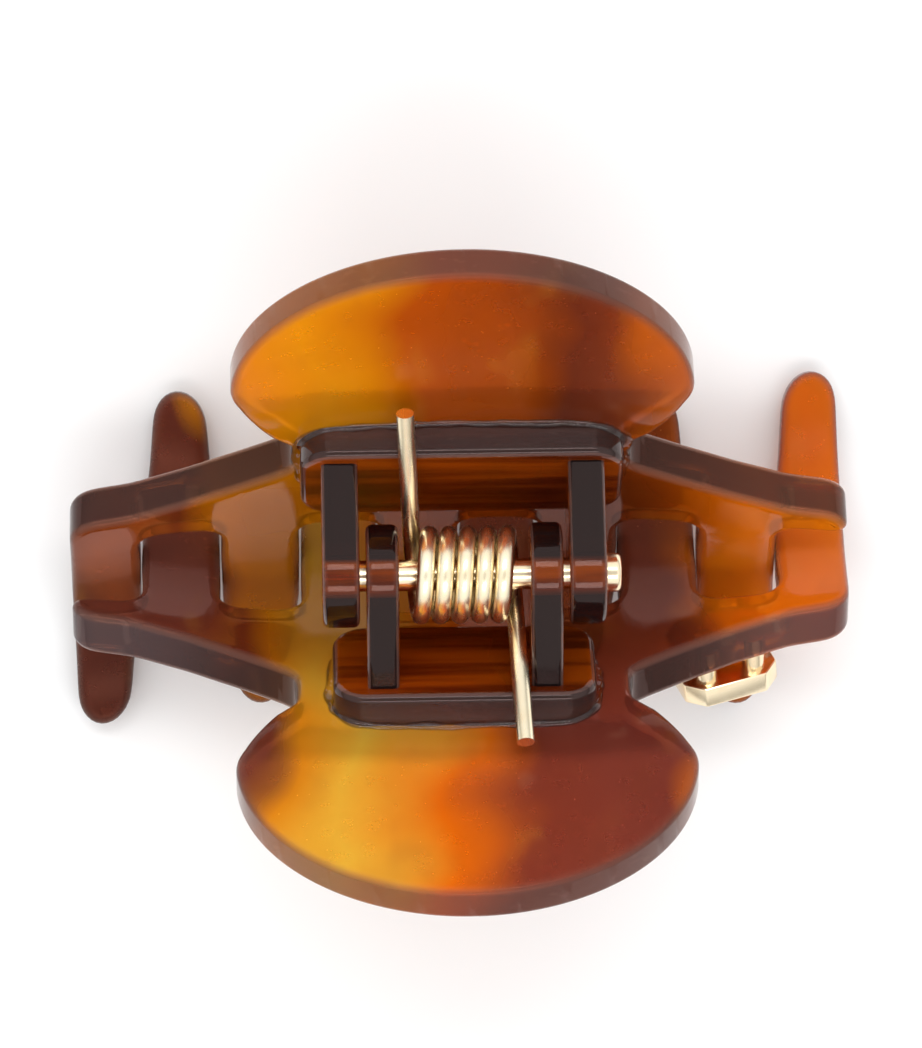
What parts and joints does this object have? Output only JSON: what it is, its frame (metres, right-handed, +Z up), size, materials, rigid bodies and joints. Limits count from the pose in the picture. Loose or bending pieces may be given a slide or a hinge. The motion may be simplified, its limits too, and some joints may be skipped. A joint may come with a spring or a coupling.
{
  "type": "claw hair clip",
  "caption": "Sprung claw hair clip: two toothed jaws with oval handles, hinged on a pin through glued brackets, with a small square badge.",
  "frame": {"origin": "on the surface the clip stands on, below the middle of the hinge pin", "axes": "+X along the hinge pin towards its head, +Y towards the rear jaw's handle, +Z up from the tooth tips to the handles"},
  "size_m": [0.0512, 0.0426, 0.0322],
  "materials": {
    "tortoise_acetate": "polished translucent cellulose acetate, amber mottled with dark brown",
    "bracket_acetate": "polished dark brown translucent acetate",
    "gold_tone_metal": "pale gold plating, semi-gloss",
    "spring_wire": "pale gold plated spring steel",
    "brown_resin": "polished dark brown resin"
  },
  "bodies": {
    "rear_half": {"rear_jaw": "tortoise_acetate", "rear_hinge_bracket": "bracket_acetate", "hinge_pin": "gold_tone_metal", "torsion_spring": "spring_wire"},
    "front_half": {"front_jaw": "tortoise_acetate", "front_hinge_bracket": "bracket_acetate", "badge_frame": "gold_tone_metal", "badge_posts": "gold_tone_metal", "badge_cabochon": "brown_resin"}
  },
  "joints": [
    {"name": "jaw_hinge", "type": "hinge", "parent": "rear_half", "child": "front_half", "pos_m": [0, 0, 0.02077], "axis": [-1, 0, 0], "range_deg": [0, 117], "stiffness_Nm_per_rad": 0.2, "springref_deg": -20.05, "deforming": ["torsion_spring"]}
  ]
}
